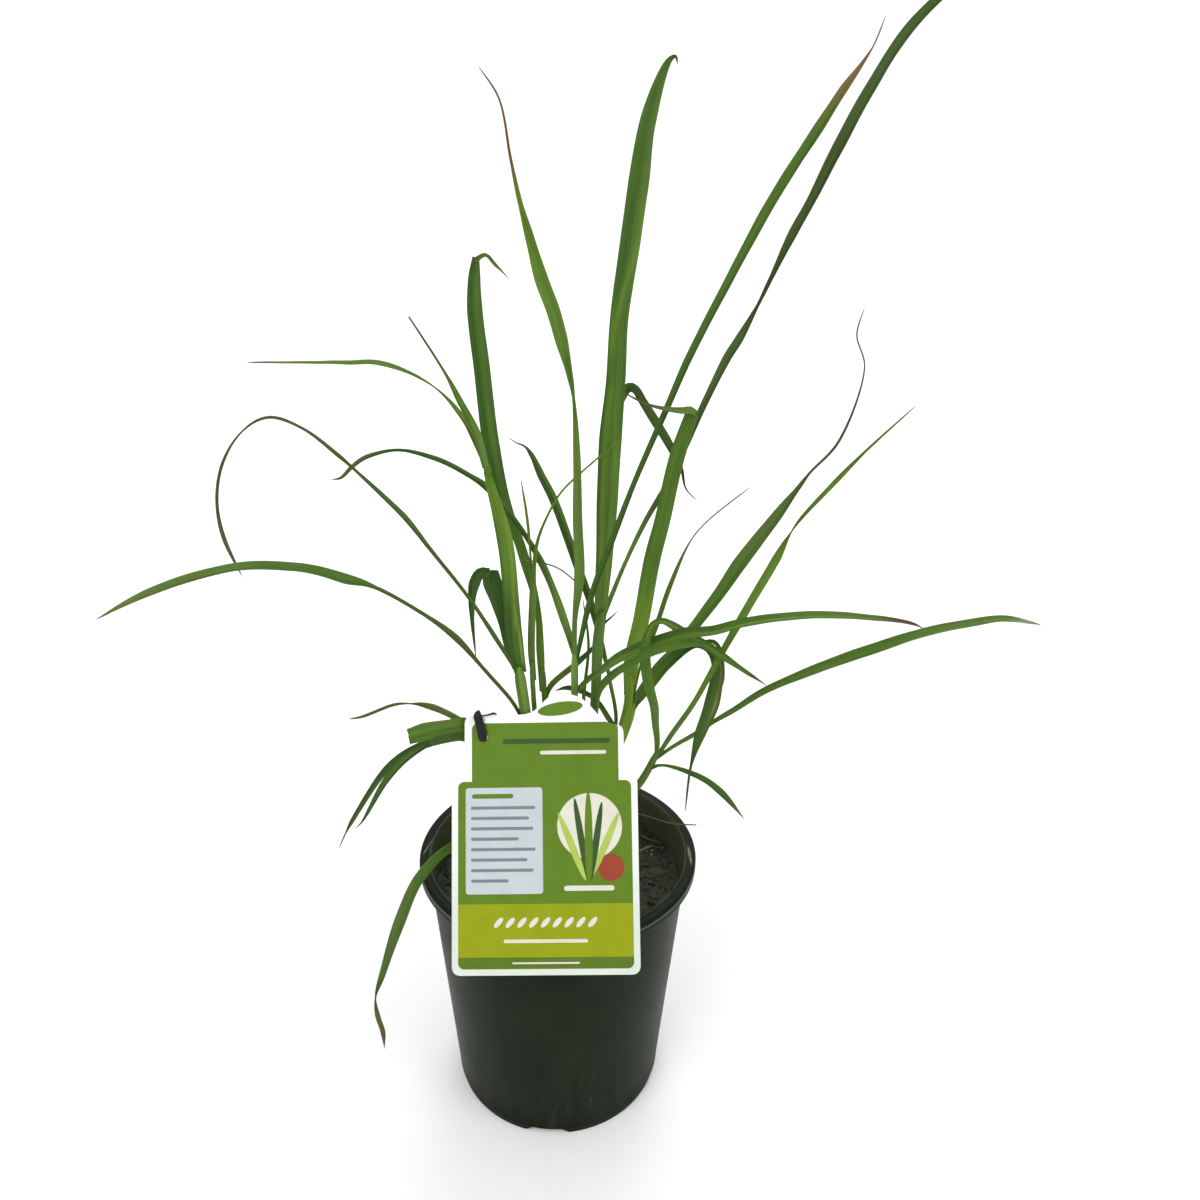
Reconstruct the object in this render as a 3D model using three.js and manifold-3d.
// A young lemongrass plant in a nursery pot, in millimetres, +Z up.
// The origin is the middle of the pot's foot, on the surface that the pot stands on.
// -Y is the front, where the label card leans on the rim.
//
// Each leafy stem (tiller) is one solid: its stems and all its leaf blades, joined.
// A stem or a blade follows a route of [x, y, z, width] points, with a smooth curve between them.

import * as THREE from 'three';
import { mergeVertices } from 'three/addons/utils/BufferGeometryUtils.js';
import Module from 'manifold-3d';

const wasm = await Module();
wasm.setup();

// ---------- driving dimensions ----------

const POT = {
  height: 148,
  footRadius: 58,
  footHeight: 4, // the plain band below the wall
  wallBase: 58.7, // wall radius just above that band
  wallTop: 70, // wall radius just under the lip
  lipRadius: 75,
  lipHeight: 6.4,
  lipRound: 0.9,
  wall: 1.6,
  footRecess: 3.5, // how far the floor stands above the ground
  footRing: 5, // width of the ring that it stands on
  footPad: 8, // radius of the flat pad in the middle of the foot
  floor: 1.8,
};
const NOTCH = { count: 4, angle: -96, base: 25, top: 15 }; // gaps in the foot ring
const DRAIN = { radius: 4.5, circle: 42 }; // floor holes, one beside each notch
const SOIL_TOP = 129;
const GAP = 0.3; // clearance between pieces that rest on each other

const BLADE_THICKNESS = 0.7;
const FOLD = 0.16; // depth of a blade's V, as a share of its width
const STEM_SIDES = 8;
const ROD_SIDES = 6;
const STEPS = 2; // sections from one route point to the next
const TURNED_SIDES = 48; // of the pot and the soil
const FRONT = new THREE.Vector3(0, -1, 0);

const CARD = {
  lean: 62, // degrees from level
  yaw: -4.2, // turned about the pot's axis
  roll: 2.7, // turned in its own plane
  thickness: 0.8,
  lowerHalf: 44.7,
  upperHalf: 38.5,
  bottom: -13.5, // heights are measured up the card from the rim
  shoulder: 80,
  topLeft: 108.8,
  topRight: 103.6,
  crest: 118.8,
  corner: 4.5,
};
const TIE = {
  hole: [-29.3, 98.4],
  holeRadius: 2,
  radius: 0.6,
  knot: 2.2,
  bandWidth: 4.4,
  bandThickness: 1.3,
};

// ---------- leafy stems ----------
// face: the way a blade's upper side looks, at its base and at its tip.

const TILLERS = {
  tiller_a: {
    stems: [
      [
        [-7, -10, 110, 7], [-8, -11, 150, 7], [-12, -15, 200, 6.5], [-16, -19, 242, 5.5],
        [-19, -20, 268, 5.5],
      ],
    ],
    blades: [
      { // the long arch out to the left
        face: [[0.1, -0.6, 0.8], [0, -0.5, 0.85]],
        route: [
          [-18, -19, 240, 2], [-23, -20, 250, 2], [-37, -24, 271, 2], [-47, -28, 286.7, 3.5],
          [-60, -31, 299.2, 2],
          [-80, -37, 315, 2], [-92, -41, 321, 5.4], [-111, -46, 328.2, 4.8], [-134, -52, 330.3, 4.6],
          [-167, -60, 322.5, 4.5], [-189, -65, 312, 1],
        ],
      },
      { // the broad sheath that carries the stem on upward
        face: [[0, -1, 0.1], [0.1, -0.95, 0.3]],
        route: [
          [-18, -20, 265, 6], [-20.5, -20, 282, 8], [-21.7, -20, 303, 7.3], [-23.9, -21, 332, 7.2],
          [-31.5, -22, 366, 3.4],
        ],
      },
      { // its level upper blade, pointing left
        face: [[0.4, -0.8, 0.5], [0.2, -0.6, 0.75]],
        route: [
          [-30, -22, 363, 3], [-35.7, -21, 378, 3.4], [-41, -19, 387, 2.5], [-54, -10, 398.5, 1],
          [-78, 4, 406, 3],
          [-94, 12, 405, 2.6], [-119, 24, 403, 1.7], [-148, 36, 401, 1],
        ],
      },
      { // a short steep blade beside it
        face: [[0.5, -0.8, 0.3], [0.5, -0.7, 0.4]],
        route: [
          [-31.5, -22, 366, 3.4], [-34.7, -24, 381, 4.2], [-41.2, -27, 396, 3], [-46.8, -29, 408, 1.4],
          [-59, -34, 430, 1],
        ],
      },
      { // the thin blade that loops over at the far left
        face: [[0.4, -0.6, 0.7], [0.5, -0.6, 0.5]],
        route: [
          [-19, -20, 264, 2], [-28.2, -22, 282, 2.5], [-41, -25, 306, 2], [-57, -27, 330, 2],
          [-67, -28, 345, 3],
          [-88, -28, 367, 1.5], [-93, -28, 372, 2], [-108, -24, 382.6, 1.6], [-123, -19, 386.3, 1.8],
          [-137, -14, 379, 1], [-149.5, -9, 363, 1.5], [-156.2, -4, 343, 1.6], [-156.7, 0, 325, 2.2],
          [-151.8, 3, 304.5, 1],
        ],
      },
      { // a dark blade and, after its sharp fold, its hanging end
        face: [[0, -1, 0.15], [0.1, -0.95, 0.2]],
        route: [
          [-20.2, -18, 266.2, 3.5], [-23.2, -17.3, 276.1, 4.4], [-25.6, -16.5, 288.7, 4.8],
          [-28.1, -16, 300.4, 7.2],
          [-30.6, -15.5, 309.6, 9], [-31.3, -15, 315, 8],
        ],
      },
      {
        face: [[0.3, -0.9, 0.3], [0, -1, 0.1]],
        route: [
          [-31.5, -16.5, 314.5, 4.5], [-36, -15, 314, 5], [-39, -14.5, 308.5, 5.4], [-40.5, -14, 300, 3.4],
          [-40.8, -13, 289, 2], [-40.4, -12, 278, 1.4], [-39.9, -11, 268, 1],
        ],
      },
    ],
  },

  tiller_b: {
    stems: [
      [[-5, 2, 110, 6.5], [-6, 1, 150, 6], [-7, -1, 200, 5], [-7, -2, 238, 2.5], [-8, -1, 258, 3.5]],
      [[-6, 1, 150, 4.5], [-9, -4, 200, 3.5], [-12, -8, 239, 2.5], [-13, -10, 266, 2.5]],
    ],
    blades: [
      { // the tall blade with a broken tip, left of the middle
        face: [[0, -1, 0.1], [0, -1, 0.1]],
        route: [
          [-8, -2, 245, 3], [-9, 0, 267, 4], [-10, 0, 289, 3], [-16, 2, 314, 5], [-20.3, 3, 328, 4.8],
          [-24.8, 4, 339, 6.6],
          [-31.2, 7, 371, 7.8], [-34.4, 10, 403, 7.5], [-37, 13, 428, 7], [-37, 15, 441, 5.6],
          [-36, 16, 450.5, 3.8],
        ],
      },
      {
        face: [[0, -0.8, 0.6], [0.2, -0.6, 0.75]],
        route: [[-36.6, 16, 449, 2.5], [-32, 18, 451.3, 2], [-28, 20.5, 447, 2], [-22, 23, 441, 1]],
      },
      { // the light blade that bends right across the bunch
        face: [[0, -1, 0.1], [-0.2, -0.9, 0.3]],
        route: [
          [-12, -9, 255, 2.5], [-13, -10, 272, 3.5], [-12, -12, 299, 3.5], [-11, -13.5, 318, 2],
          [-9.2, -15, 330, 1.6], [-5.4, -16, 340.5, 1.3], [1.3, -17, 353.2, 1.2], [14.2, -19, 366.6, 1.1],
          [27, -21, 378.3, 1],
        ],
      },
      { // a hair-thin shoot
        face: [[0, -1, 0.1], [0, -1, 0.1]],
        route: [[-12, -13, 309, 1], [-14, -11, 338, 1.5], [-17, -8, 358, 1]],
      },
      { // a small blade low down
        face: [[-0.3, -0.8, 0.5], [-0.3, -0.8, 0.5]],
        route: [
          [-6, -2, 241, 1.5], [-4, -1, 247.3, 3], [10, 1, 260, 3.2], [18, 2, 268.5, 1.8], [20.7, 2.5, 278.1, 1.6],
          [25.7, 3.2, 283, 1.3], [30, 4, 287, 1],
        ],
      },
    ],
  },

  tiller_c: {
    stems: [
      [[3, -7, 110, 7], [4, -8, 150, 6.5], [6, -10, 200, 5], [8, -12, 245, 3.5], [8, -12, 271, 3.5]],
    ],
    blades: [
      { // the longest blade, up to the right
        face: [[-0.2, -0.95, 0.2], [-0.55, -0.7, 0.45]],
        route: [
          [8, -12, 263, 2], [16, -12, 302, 3], [25, -12, 329, 3], [35, -10, 357, 2.5], [48, -6, 388, 3],
          [58, -1, 411, 3.5], [75, 8, 443, 4], [94, 20, 476, 5], [115, 34, 506, 5], [126.4, 42, 522, 4.3],
          [139.5, 51, 539, 1], [146, 58, 553, 1],
        ],
      },
      { // the upright blade that curves left to a thread
        face: [[0, -1, 0.1], [0.2, -0.95, 0.2]],
        route: [
          [8, -12, 266, 2.5], [8, -12, 289, 2.5], [10, -12, 312, 5], [9, -12, 339, 4.5],
          [8.5, -12, 367, 3.5],
          [6.8, -14, 395, 1.5], [5, -14, 405, 2.9], [1.4, -16, 420, 5.6], [-2, -18, 432, 5.9],
          [-6.6, -20, 444, 5.8], [-10.7, -24, 458.5, 3.9], [-14.6, -28, 473, 2],
          [-17.6, -33, 488, 1.3], [-21, -39, 507, 1], [-28, -44, 517, 1],
        ],
      },
      { // the dark crinkled blade, level to the left
        face: [[0.3, -0.9, 0.2], [0.2, -0.6, 0.75]],
        route: [
          [8, -12, 270, 2.5], [3, -11, 288, 4], [-6, -10, 313, 3.5], [-15, -9, 330, 2.5],
          [-32, -7, 352, 3.5],
          [-39, -6, 357, 2.5], [-56, 0, 364.2, 2.5], [-73, 5, 366.6, 1.6], [-89, 9, 362.5, 2.3],
          [-98, 12, 356, 2.4],
          [-103, 13, 351.2, 2], [-108, 14, 350, 1],
        ],
      },
      { // a dry strand
        face: [[0, -1, 0.1], [0, -1, 0.1]],
        route: [[9, -12, 308, 1], [1, -10, 314, 1], [-6, -9, 316.5, 1], [-19, -9, 318.5, 1]],
      },
      { // the blade that lies out level to the right
        face: [[-0.1, -0.7, 0.7], [0.1, -0.6, 0.8]],
        route: [
          [8, -12, 249, 2.5], [15, -14, 258, 3], [20, -18, 264, 3.5], [31, -21, 274.4, 5.4],
          [57, -28, 288.7, 5.8],
          [72, -31, 292, 4.9], [87, -32, 296.7, 4.6], [118, -32, 300.3, 4], [146, -29, 297.5, 3],
          [166, -25, 293, 2],
          [174, -23, 289, 1],
        ],
      },
    ],
  },

  tiller_d: {
    stems: [
      [
        [8, 4, 110, 7], [9, 3, 150, 6.5], [13, 0, 200, 5.5], [18, -4, 234, 4.5], [19.5, -4, 273, 5.5],
        [21, -3, 289, 4.5],
      ],
    ],
    blades: [
      { // the broadest blade, upright in the middle
        face: [[0, -1, 0.05], [-0.25, -0.95, 0.2]],
        route: [
          [21, -3, 278, 3.5], [21, -2, 295, 6.5], [22, -2, 316, 8], [23, 0, 345, 10], [24, 2, 373, 10.5],
          [26, 4, 400, 8.8], [27, 6, 426, 8.2], [31.4, 10, 459, 9], [34.5, 14, 482, 9], [38, 17, 506, 7],
          [46, 22, 528, 3],
          [49, 23, 530, 2], [50, 24, 527.5, 1.6],
        ],
      },
      { // the blade that rises furthest to the front right
        face: [[-0.2, -0.95, 0.2], [-0.6, -0.7, 0.3]],
        route: [
          [21, -3, 284, 2.5], [32.6, -1, 315, 2], [41.7, 1, 335, 2.5], [52.2, 4, 353.5, 3],
          [67, 3, 391, 3.2],
          [75.2, 0, 411, 4],
          [79.5, -1, 418.7, 4], [86, -5, 433.6, 1.6], [89.8, -8, 444, 2], [97, -12, 463.2, 4],
          [102, -16, 475, 4],
          [109.4, -22, 494.6, 5], [117, -29, 513.6, 4.7], [126.7, -38, 532.6, 4.2],
          [138.2, -49, 545.7, 3.5],
          [143, -56, 550, 2.5],
          [149, -64, 551, 1],
        ],
      },
      { // the dark blade that doubles over behind
        face: [[0, -1, 0.1], [-0.4, -0.8, 0.4]],
        route: [
          [21, -1, 285, 2.5], [23, 4, 303, 3.5], [25, 12, 341, 4.5], [25.5, 16, 378, 4.5],
          [29, 16.5, 389, 4.5],
          [33, 16.5, 394.5, 4.4], [36, 16, 393.5, 4],
          [39, 15, 389, 4], [45, 13.5, 380, 4.4], [51, 12, 371, 4.2], [55, 10.5, 364, 3.4],
          [58.5, 10, 357.5, 1.8],
          [61, 9, 348, 1], [67, 8, 342, 1],
        ],
      },
      { // a shorter level blade
        face: [[-0.1, -0.7, 0.7], [-0.1, -0.7, 0.7]],
        route: [
          [18, -4.5, 235.5, 3], [19, -9, 244.5, 3.8], [20.5, -13, 252, 4.2], [27, -21, 264.5, 4.2],
          [33.8, -28, 273.2, 4.2], [42.7, -33.5, 281.9, 4.6], [53.2, -36, 286.9, 5], [63, -37, 288, 3],
          [72, -36, 287, 1.5],
        ],
      },
      { // a thin upright one
        face: [[0, -1, 0.1], [0, -1, 0.1]],
        route: [[16, -4, 229, 1.5], [13, -4, 238, 2], [15, -2, 271, 1.5], [12, 1, 295, 1]],
      },
    ],
  },

  tiller_e: {
    stems: [
      [[14, 12, 110, 6], [16, 12, 150, 5.5], [23, 10, 200, 3.5], [30, 6, 221, 2], [25, 6, 254, 2]],
    ],
    blades: [
      { // the dark blade leaning left behind the bunch
        face: [[0.1, -0.95, 0.2], [0.3, -0.8, 0.5]],
        route: [
          [26, 6, 250, 2], [17, 6, 287, 3.6], [8.8, 4, 312, 4.2], [-2.2, 3, 344, 4.2],
          [-8.3, 1.5, 357, 3.7], [-12.1, 0, 366, 2.4], [-15.3, -1.5, 370.5, 1.2],
          [-19, -3, 372.5, 1], [-22.5, -5, 375.5, 1],
        ],
      },
      { // a small drooping blade
        face: [[0, -0.8, 0.5], [0, -0.8, 0.5]],
        route: [[30, 6, 218, 2], [26, 6, 225, 3], [18, 4, 238, 2.5], [5, 4, 243.8, 2.8], [-2, 4, 242, 1.3]],
      },
      { // a dead brown blade that lies out over the pot's rim
        face: [[0, -0.5, 0.8], [0, -0.5, 0.8]],
        route: [[18, 12, 166, 2], [28, 11, 164, 1.5], [46, 15, 158, 1], [64, 16, 151, 1], [78, 17, 149, 1]],
      },
    ],
  },

  tiller_f: {
    stems: [
      [
        [19, 1, 110, 7.5], [21, 1, 150, 7], [27, 1, 200, 6], [34, 2, 224, 5], [36, 2, 237, 4.5],
        [36, 2, 252, 5.5],
      ],
      [[27, 1, 200, 5], [36, 2, 221, 3], [39, 2, 236, 4]],
    ],
    blades: [
      { // the broad light blade right of the middle and, after its sharp fold, its end
        face: [[0, -1, 0.1], [-0.3, -0.9, 0.2]],
        route: [
          [36, 2, 241, 5], [37, 1, 261, 8], [41, 0, 284, 8], [45, -2, 316, 8], [49, -3, 336, 7.5],
          [54, -5, 366, 7.3],
          [59.5, -8, 387, 6.2],
        ],
      },
      {
        face: [[0, -0.7, 0.7], [0, -0.7, 0.7]],
        route: [
          [62, -8, 387, 2.5], [59, -9, 389, 4], [54, -10, 389, 3.5], [40, -14, 392, 1.5], [26, -17, 399, 1],
        ],
      },
      { // the right-hand blade with a long wavy thread of a tip
        face: [[-0.4, -0.85, 0.3], [-0.5, -0.7, 0.5]],
        route: [
          [38, 2, 232, 3.5], [42, 1, 242, 5], [51, 0, 258, 5], [60, 2, 268, 4.5], [78.4, 9, 290.7, 6],
          [91.8, 16, 308.6, 7.4], [108, 24, 328, 6], [120.4, 30, 342.6, 2.6], [126, 32, 350, 1.5],
          [141, 39, 364.6, 1.6],
          [153, 50, 400, 1], [148.4, 54, 415, 1], [152, 58, 428, 1],
        ],
      },
      { // a thin blade behind it
        face: [[-0.3, -0.9, 0.3], [-0.3, -0.9, 0.3]],
        route: [
          [38, 2, 236, 1.5], [42, 4, 257, 1.5], [49, 7, 276, 2.6], [55.6, 11, 296.8, 2.5], [66, 18, 319, 1],
          [75, 23, 328, 1], [97, 30, 344, 1],
        ],
      },
      { // the dark blade that arches over and hangs
        face: [[-0.3, -0.8, 0.5], [0.1, -0.95, 0.2]],
        route: [
          [39, 2, 234, 3], [47.6, -2, 249.4, 4.4], [54.6, -7, 263.6, 5.4], [67, -14, 277.2, 4.1],
          [73, -16, 275.3, 4.2],
          [77, -17, 268, 5.5], [75.8, -18, 247, 7.6], [71, -20, 232, 6], [67, -20, 213, 1.5],
          [65, -22, 185, 1],
        ],
      },
      { // its split edge
        face: [[-0.3, -0.8, 0.5], [0.1, -0.95, 0.2]],
        route: [
          [69, -14, 277.6, 2], [75, -14, 278.4, 2], [78.6, -14, 274, 1.9], [81, -14, 258, 2],
          [80, -15, 251, 1],
        ],
      },
    ],
  },

  tiller_g: {
    stems: [
      [[-17, -12, 110, 7], [-20, -13, 150, 6.5], [-30, -15, 195, 5.5], [-39, -16, 228, 5]],
    ],
    blades: [
      { // the upper thin blade to the left
        face: [[0.2, -0.6, 0.8], [0.2, -0.6, 0.8]],
        route: [
          [-39, -16, 227, 3], [-47, -18, 236.5, 3.2], [-61, -20, 246, 3.6], [-71, -22, 249, 1],
          [-79, -22, 248.4, 1.7],
          [-95, -24, 242.8, 1.7], [-101, -24, 241.8, 1.4],
        ],
      },
      { // the broad blade that is folded flat back on itself
        face: [[0.1, -0.7, 0.7], [0.1, -0.7, 0.7]],
        route: [
          [-38, -16, 223, 7.5], [-45, -21, 236.3, 7.6], [-53, -25, 238, 6.8], [-64, -30, 238.2, 8.6],
          [-71, -32, 236.6, 7.6],
        ],
      },
      {
        face: [[0.1, -0.9, 0.4], [0.1, -0.7, 0.7]],
        route: [
          [-71.2, -31.6, 236.6, 7.5], [-66, -28.5, 236, 7.2], [-60, -25.5, 236, 5], [-56, -23, 236.5, 2],
        ],
      },
      { // the blade that droops to the lower left, and its narrow twin
        face: [[0.1, -0.6, 0.8], [0.3, -0.8, 0.4]],
        route: [
          [-37, -16, 217, 4], [-46, -15, 226, 5], [-56, -15, 225.6, 5], [-72, -15, 219.5, 4],
          [-85.5, -15, 209.2, 3.4],
          [-105.7, -15, 178, 2.4], [-110.5, -15, 169, 1], [-115, -15, 159, 1],
        ],
      },
      {
        face: [[0.1, -0.6, 0.8], [0.3, -0.8, 0.4]],
        route: [
          [-64, -15.3, 222.8, 2.4], [-74, -19, 218, 3.5], [-85.3, -22, 206.6, 3.4], [-99.2, -26, 183.2, 1.3],
          [-102.3, -27, 180.6, 1],
        ],
      },
      { // the lowest blade, over the rim and down outside the pot
        face: [[0.2, -0.5, 0.8], [0.2, -0.9, 0.2]],
        route: [
          [-19, -13, 143, 7], [-27, -20, 161, 8], [-40, -31, 174, 7], [-53, -41, 179, 4.5],
          [-67.5, -48, 167, 5.2],
          [-78.1, -53, 144, 5.7], [-88.4, -56, 113, 3.3], [-92.6, -57, 99, 1], [-92.2, -58, 88, 2.5],
          [-90.3, -58, 77, 2.5], [-90.3, -58, 65, 1],
        ],
      },
    ],
  },

  tiller_h: {
    stems: [
      [[15, -10, 110, 6.5], [20, -11, 150, 6], [36, -12, 188, 4.5], [43, -13, 199, 4], [51, -14, 218, 3.5]],
    ],
    blades: [
      { // the light blade that rises, then turns over to the right
        face: [[-0.2, -0.95, 0.2], [-0.2, -0.6, 0.75]],
        route: [
          [50, -14, 214, 2], [49.9, -15, 223, 2.9], [48.3, -18, 235, 3.6], [47, -21, 246.5, 4.4],
          [44, -24, 258, 5],
          [41.9, -27, 269, 5.2], [40.9, -28.3, 278.1, 5],
          [40.9, -28.8, 284.6, 4.2], [41.9, -28.5, 289, 3.2], [44, -27.5, 293.3, 3], [48.2, -25, 294, 3.2],
          [54.3, -22, 290.2, 4], [61, -21.5, 285.7, 4], [69, -22, 281, 4.2],
          [77.2, -24.5, 276.3, 3.8], [87, -30, 271.2, 2.3], [98.5, -35, 265, 1],
        ],
      },
      { // the straight blade to the right
        face: [[-0.4, -0.85, 0.3], [-0.5, -0.8, 0.4]],
        route: [
          [50, -14, 213, 2], [56.4, -16, 227, 2.6], [66.5, -20, 248, 2.6], [78.4, -22, 276.6, 3.1],
          [88, -17, 293.6, 4], [104.2, -5, 317.6, 4.3], [112, 2, 329, 1], [116.8, 5, 334.6, 1.8],
          [135.7, 16, 351.2, 2.6],
          [151, 24, 364, 1.5],
          [177, 36, 384, 1],
        ],
      },
      { // the long level blade to the far right
        face: [[-0.1, -0.6, 0.8], [0, -0.6, 0.8]],
        route: [
          [48, -14, 211, 2], [58, -14, 219.4, 2], [69, -12, 225.5, 2.5], [78, -12, 232.5, 2.3],
          [89, -10, 238.7, 3],
          [103, -8, 247.7, 3.6], [133, -3, 259.2, 5.2], [157, 1, 266.3, 5.9], [185, 6, 273.7, 5.1],
          [214, 11, 277.6, 4.4],
          [231, 14, 278.4, 4], [253, 18, 273, 1.6],
        ],
      },
      { // the short blade that bends down over the rim
        face: [[-0.2, -0.6, 0.8], [0, -0.6, 0.8]],
        route: [
          [47, -14, 207, 2.5], [53, -18, 211, 1.5], [70, -33, 213.6, 3], [79, -40, 210, 3.5],
          [89, -52, 202.6, 1.3],
        ],
      },
    ],
  },
};

// ---------- solids ----------

// Any closed geometry as a manifold solid.
function solid(geometry) {
  const bare = new THREE.BufferGeometry();
  bare.setAttribute('position', geometry.getAttribute('position'));
  bare.setIndex(geometry.getIndex());
  const merged = mergeVertices(bare, 1e-4);
  return new wasm.Manifold(new wasm.Mesh({
    numProp: 3,
    vertProperties: new Float32Array(merged.getAttribute('position').array),
    triVerts: new Uint32Array(merged.getIndex().array),
  }));
}

// A closed mesh from points and triangles.
function meshSolid(points, triangles) {
  const geometry = new THREE.BufferGeometry().setFromPoints(points);
  geometry.setIndex(triangles.flat());
  return solid(geometry);
}

// A manifold solid as a flat-shaded geometry.
function geometryOf(shape) {
  const mesh = shape.getMesh();
  const geometry = new THREE.BufferGeometry();
  geometry.setAttribute('position', new THREE.BufferAttribute(new Float32Array(mesh.vertProperties), 3));
  geometry.setIndex(new THREE.BufferAttribute(new Uint32Array(mesh.triVerts), 1));
  const flat = geometry.toNonIndexed();
  flat.computeVertexNormals();
  return flat;
}

const joined = (solids) => solids.reduce((sum, next) => sum.add(next));
const vector = ([x, y, z]) => new THREE.Vector3(x, y, z);

// The sections along a route: where each one is, which way it runs, and how wide it is.
function sections(route) {
  const curve = new THREE.CatmullRomCurve3(route.map(vector), false, 'centripetal');
  const spans = route.length - 1;
  return Array.from({ length: spans * STEPS + 1 }, (_, i) => {
    const share = i / (spans * STEPS);
    const k = Math.min(Math.floor(i / STEPS), spans - 1);
    const width = THREE.MathUtils.lerp(route[k][3], route[k + 1][3], i / STEPS - k);
    return { share, width, centre: curve.getPoint(share), along: curve.getTangent(share) };
  });
}

// A round stem with flat ends; extra adds to its width, for the hole that it stands in.
function stemSolid(route, extra = 0) {
  const points = [];
  const triangles = [];
  sections(route).forEach(({ centre, along, width }) => {
    const side = along.clone().cross(FRONT).normalize();
    const front = side.clone().cross(along);
    for (let j = 0; j < STEM_SIDES; j++) {
      const angle = (j / STEM_SIDES) * 2 * Math.PI;
      const radius = (width + extra) / 2;
      points.push(centre.clone()
        .addScaledVector(side, radius * Math.cos(angle))
        .addScaledVector(front, radius * Math.sin(angle)));
    }
  });
  const last = points.length - STEM_SIDES;
  for (let a = 0; a < last; a++) {
    const b = a - (a % STEM_SIDES) + ((a + 1) % STEM_SIDES);
    triangles.push([a, b + STEM_SIDES, b], [a, a + STEM_SIDES, b + STEM_SIDES]);
  }
  for (let j = 1; j < STEM_SIDES - 1; j++) {
    triangles.push([0, j, j + 1], [last, last + j + 1, last + j]);
  }
  return meshSolid(points, triangles);
}

// A thin blade, folded to a shallow V along its midrib. Both faces are split alike.
function bladeSolid({ face: [faceAtBase, faceAtTip], route }) {
  const points = [];
  const triangles = [];
  const rows = sections(route);
  rows.forEach(({ share, centre, along, width }) => {
    const face = vector(faceAtBase).normalize().lerp(vector(faceAtTip).normalize(), share);
    const side = along.clone().cross(face).normalize();
    const normal = side.clone().cross(along);
    for (const across of [-1, 0, 1]) {
      const lift = (across === 0 ? -0.5 : 0.5) * FOLD * width;
      for (const skin of [BLADE_THICKNESS / 2, -BLADE_THICKNESS / 2]) {
        points.push(centre.clone()
          .addScaledVector(side, (across * width) / 2)
          .addScaledVector(normal, lift + skin));
      }
    }
  });
  const at = (row, column, under) => (row * 3 + column) * 2 + under;
  const quad = (a, b, c, d) => triangles.push([a, b, c], [a, c, d]);
  const last = rows.length - 1;
  for (let row = 0; row < last; row++) {
    for (const column of [0, 1]) {
      quad(at(row, column, 0), at(row, column + 1, 0), at(row + 1, column + 1, 0), at(row + 1, column, 0));
      const [a, b] = [at(row, column, 1), at(row, column + 1, 1)];
      const [c, d] = [at(row + 1, column + 1, 1), at(row + 1, column, 1)];
      triangles.push([a, c, b], [a, d, c]);
    }
    quad(at(row, 0, 0), at(row + 1, 0, 0), at(row + 1, 0, 1), at(row, 0, 1));
    quad(at(row, 2, 0), at(row, 2, 1), at(row + 1, 2, 1), at(row + 1, 2, 0));
  }
  for (const column of [0, 1]) {
    quad(at(0, column, 0), at(0, column, 1), at(0, column + 1, 1), at(0, column + 1, 0));
    quad(at(last, column, 0), at(last, column + 1, 0), at(last, column + 1, 1), at(last, column, 1));
  }
  return meshSolid(points, triangles);
}

// A round rod of one thickness along a smooth curve.
function rodSolid(route, radius, steps) {
  const curve = new THREE.CatmullRomCurve3(route.map(vector), false, 'centripetal');
  const circle = new THREE.Shape().absarc(0, 0, radius, 0, 2 * Math.PI);
  const options = { extrudePath: curve, steps, curveSegments: ROD_SIDES / 2, bevelEnabled: false };
  return solid(new THREE.ExtrudeGeometry(circle, options));
}

// A turned solid from its profile of [radius, height] points.
function turned(profile) {
  const points = profile.map(([radius, height]) => new THREE.Vector2(radius, height));
  return new THREE.LatheGeometry(points, TURNED_SIDES).rotateX(Math.PI / 2);
}

// ---------- pot ----------

const lipUnder = POT.height - POT.lipHeight;
const floorTop = POT.footRecess + POT.floor;
const wallRadius = (z) => THREE.MathUtils.mapLinear(z, POT.footHeight, lipUnder, POT.wallBase, POT.wallTop);
const innerRadius = (z) => wallRadius(z) - POT.wall;

const outerProfile = [
  [0, 0],
  [POT.footPad, 0],
  [POT.footPad, POT.footRecess],
  [POT.footRadius - POT.footRing, POT.footRecess],
  [POT.footRadius - POT.footRing, 0],
  [POT.footRadius, 0],
  [POT.footRadius, POT.footHeight - 0.6],
  [wallRadius(POT.footHeight), POT.footHeight],
  [wallRadius(lipUnder), lipUnder],
  [POT.lipRadius - POT.lipRound, lipUnder],
  [POT.lipRadius, lipUnder + POT.lipRound],
  [POT.lipRadius, POT.height - POT.lipRound],
  [POT.lipRadius - 0.3 * POT.lipRound, POT.height - 0.3 * POT.lipRound],
  [POT.lipRadius - POT.lipRound, POT.height],
  [innerRadius(POT.height) + POT.lipRound, POT.height],
  [innerRadius(POT.height), POT.height - POT.lipRound],
  [innerRadius(floorTop), floorTop],
  [0, floorTop],
];

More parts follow.
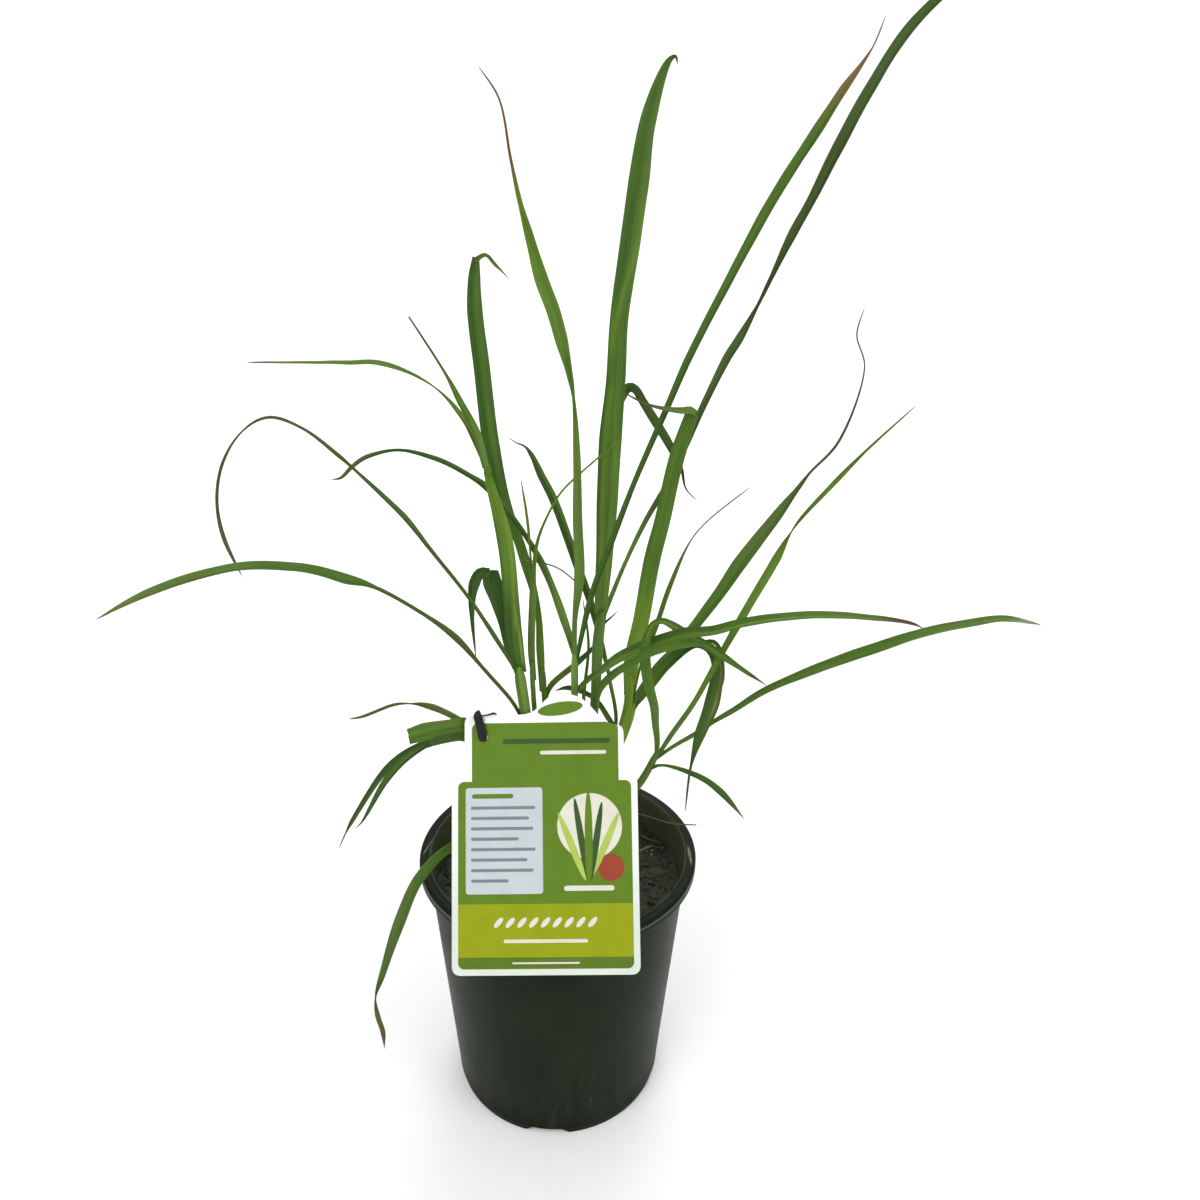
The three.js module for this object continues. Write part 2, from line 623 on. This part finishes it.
function potSolid() {
  const { base, top } = NOTCH;
  const outline = new THREE.Shape([
    new THREE.Vector2(-base / 2, -1),
    new THREE.Vector2(base / 2, -1),
    new THREE.Vector2(base / 2, 0),
    new THREE.Vector2(top / 2, POT.footRecess),
    new THREE.Vector2(-top / 2, POT.footRecess),
    new THREE.Vector2(-base / 2, 0),
  ]);
  const notch = new THREE.ExtrudeGeometry(outline, { depth: 3 * POT.footRing, bevelEnabled: false });
  notch.rotateX(Math.PI / 2).rotateZ(Math.PI / 2).translate(POT.footRadius - 2 * POT.footRing, 0, 0);
  const drain = new THREE.CylinderGeometry(DRAIN.radius, DRAIN.radius, 4 * POT.floor, 12);
  drain.rotateX(Math.PI / 2).translate(DRAIN.circle, 0, POT.footRecess + POT.floor / 2);
  let pot = solid(turned(outerProfile));
  for (let i = 0; i < NOTCH.count; i++) {
    const angle = THREE.MathUtils.degToRad(NOTCH.angle + (360 / NOTCH.count) * i);
    pot = pot.subtract(solid(notch.clone().rotateZ(angle)));
    pot = pot.subtract(solid(drain.clone().rotateZ(angle)));
  }
  return pot;
}

// ---------- potting soil ----------

const soilHeight = (x, y) => SOIL_TOP + 1.4 * Math.sin(x / 9) * Math.cos(y / 11) + 0.6 * Math.sin((x - y) / 4);

// The soil fills the pot, has an uneven top, and leaves a hole for each stem.
function soilSolid() {
  const bottom = floorTop + GAP;
  const edge = innerRadius(SOIL_TOP) - GAP;
  const rings = [edge, 60, 53, 46, 39, 32, 24, 16, 8, 0];
  const under = [[0, bottom], [innerRadius(bottom) - GAP, bottom]];
  const geometry = turned([...under, ...rings.map((r) => [r, SOIL_TOP])]);
  const place = geometry.getAttribute('position');
  for (let i = 0; i < place.count; i++) {
    if (place.getZ(i) > bottom + 1) place.setZ(i, soilHeight(place.getX(i), place.getY(i)));
  }
  const holes = Object.values(TILLERS).map(({ stems: [[[x, y, z, width], ...rest]] }) =>
    stemSolid([[x, y, z - GAP, width], ...rest], 2 * GAP));
  return holes.reduce((soil, hole) => soil.subtract(hole), solid(geometry));
}

// ---------- label card and its tie, in the card's own plane ----------

function cardSolid() {
  const { lowerHalf, upperHalf, bottom, shoulder, topLeft, topRight, crest, corner } = CARD;
  const step = lowerHalf - upperHalf;
  const outline = new THREE.Shape();
  outline.moveTo(-lowerHalf + corner, bottom);
  outline.lineTo(lowerHalf - corner, bottom);
  outline.quadraticCurveTo(lowerHalf, bottom, lowerHalf, bottom + corner);
  outline.lineTo(lowerHalf, shoulder - corner);
  outline.quadraticCurveTo(lowerHalf, shoulder, upperHalf + step / 3, shoulder);
  outline.quadraticCurveTo(upperHalf, shoulder, upperHalf, shoulder + step / 3);
  outline.lineTo(upperHalf, topRight - corner);
  outline.quadraticCurveTo(upperHalf, topRight, upperHalf - corner, topRight);
  outline.bezierCurveTo(upperHalf - 14, topRight + 1, 24, crest, 9, crest);
  outline.bezierCurveTo(-2, crest, 0, topLeft, -12, topLeft);
  outline.lineTo(-upperHalf + corner, topLeft);
  outline.quadraticCurveTo(-upperHalf, topLeft, -upperHalf, topLeft - corner);
  outline.lineTo(-upperHalf, shoulder + step / 3);
  outline.quadraticCurveTo(-upperHalf, shoulder, -upperHalf - step / 3, shoulder);
  outline.quadraticCurveTo(-lowerHalf, shoulder, -lowerHalf, shoulder - corner);
  outline.lineTo(-lowerHalf, bottom + corner);
  outline.quadraticCurveTo(-lowerHalf, bottom, -lowerHalf + corner, bottom);
  const hole = new THREE.Path().absarc(TIE.hole[0], TIE.hole[1], TIE.holeRadius, 0, 2 * Math.PI);
  outline.holes.push(hole);
  const settings = { depth: CARD.thickness, curveSegments: 6, bevelEnabled: false };
  return solid(new THREE.ExtrudeGeometry(outline, settings));
}

// The tie's flat front band runs from the knot down over the card's hole. Its strand goes on through
// the hole, round the stem behind it, and back over the card's top edge to the knot.
function tieSolid() {
  const [u, v] = TIE.hole;
  const knotPlace = [-31.8, 108.4, 3.4];
  const loop = [
    knotPlace, [-30.6, 105, 2.4], [u, v + 2.4, 2.2], [u, v, 0.4], [-29.4, 94, -4], [-31.5, 86, -13],
    [-32.2, 80, -23], [-29.7, 77, -29], [-26.5, 75.5, -31.3], [-23.1, 77, -27], [-22.4, 82, -20],
    [-24, 92, -11],
    [-27.5, 101, -5], [-30.6, 107, -2.4], [-31.6, 110.2, -0.8], [-31.6, 110.8, 1.2], knotPlace,
  ];
  const tail = [knotPlace, [-28, 108.9, 2.2], [-24.6, 109.6, 2], [-22.8, 109.2, 2]];
  const knot = new THREE.SphereGeometry(TIE.knot, 10, 8).translate(...knotPlace);
  const bandEnd = (x, y) => {
    const end = new THREE.CylinderGeometry(TIE.bandWidth / 2, TIE.bandWidth / 2, TIE.bandThickness, 16);
    const height = CARD.thickness + GAP + 0.2 + TIE.bandThickness / 2;
    return solid(end.rotateX(Math.PI / 2).translate(x, y, height));
  };
  const band = wasm.Manifold.hull([bandEnd(-31.7, 108), bandEnd(u - 0.2, v)]);
  return joined([band, rodSolid(loop, TIE.radius, 44), rodSolid(tail, TIE.radius, 6), solid(knot)]);
}

// ---------- assembly ----------

const MATERIALS = {
  pot: new THREE.MeshStandardMaterial({ color: 0x2b2e2b, roughness: 0.55, metalness: 0 }),
  soil: new THREE.MeshStandardMaterial({ color: 0x2a2418, roughness: 0.95, metalness: 0 }),
  leaf: new THREE.MeshStandardMaterial({ color: 0x4a7a2a, roughness: 0.5, metalness: 0 }),
  card: new THREE.MeshStandardMaterial({ color: 0x6b9a2c, roughness: 0.4, metalness: 0 }),
  tie: new THREE.MeshStandardMaterial({ color: 0x1c1e1c, roughness: 0.5, metalness: 0 }),
};

function named(name, shape, material) {
  const mesh = new THREE.Mesh(geometryOf(shape), material);
  mesh.name = name;
  return mesh;
}

const plant = new THREE.Group();
plant.add(named('pot', potSolid(), MATERIALS.pot));
plant.add(named('potting_soil', soilSolid(), MATERIALS.soil));
for (const [name, { stems, blades }] of Object.entries(TILLERS)) {
  const pieces = [...stems.map((route) => stemSolid(route)), ...blades.map(bladeSolid)];
  plant.add(named(name, joined(pieces), MATERIALS.leaf));
}

// The card leans on the outermost point of the lip, seen along the card's own plane.
const lean = THREE.MathUtils.degToRad(CARD.lean);
const reach = ([radius, height]) => radius * Math.sin(lean) + height * Math.cos(lean);
const further = (best, next) => (reach(next) > reach(best) ? next : best);
const [touchRadius, touchHeight] = outerProfile.reduce(further);
const card = new THREE.Group();
card.rotation.set(lean, 0, THREE.MathUtils.degToRad(CARD.roll));
card.position.set(0, -touchRadius - GAP * Math.sin(lean), touchHeight + GAP * Math.cos(lean));
card.add(named('label_card', cardSolid(), MATERIALS.card));
card.add(named('label_tie', tieSolid(), MATERIALS.tie));
const stand = new THREE.Group();
stand.rotation.z = THREE.MathUtils.degToRad(CARD.yaw);
stand.add(card);
plant.add(stand);

// Two bits of straw lie on the soil.
const STRAW = 0.7; // radius
const lying = ([x, y]) => [x, y, soilHeight(x, y) + STRAW + 2 * GAP];
const STRAWS = {
  straw_1: [[47, 33], [53, 28.5], [60, 25]],
  straw_2: [[45, 17], [50, 20], [54, 22.5]],
};
for (const [name, points] of Object.entries(STRAWS)) {
  plant.add(named(name, rodSolid(points.map(lying), STRAW, 6), MATERIALS.soil));
}

export default plant;
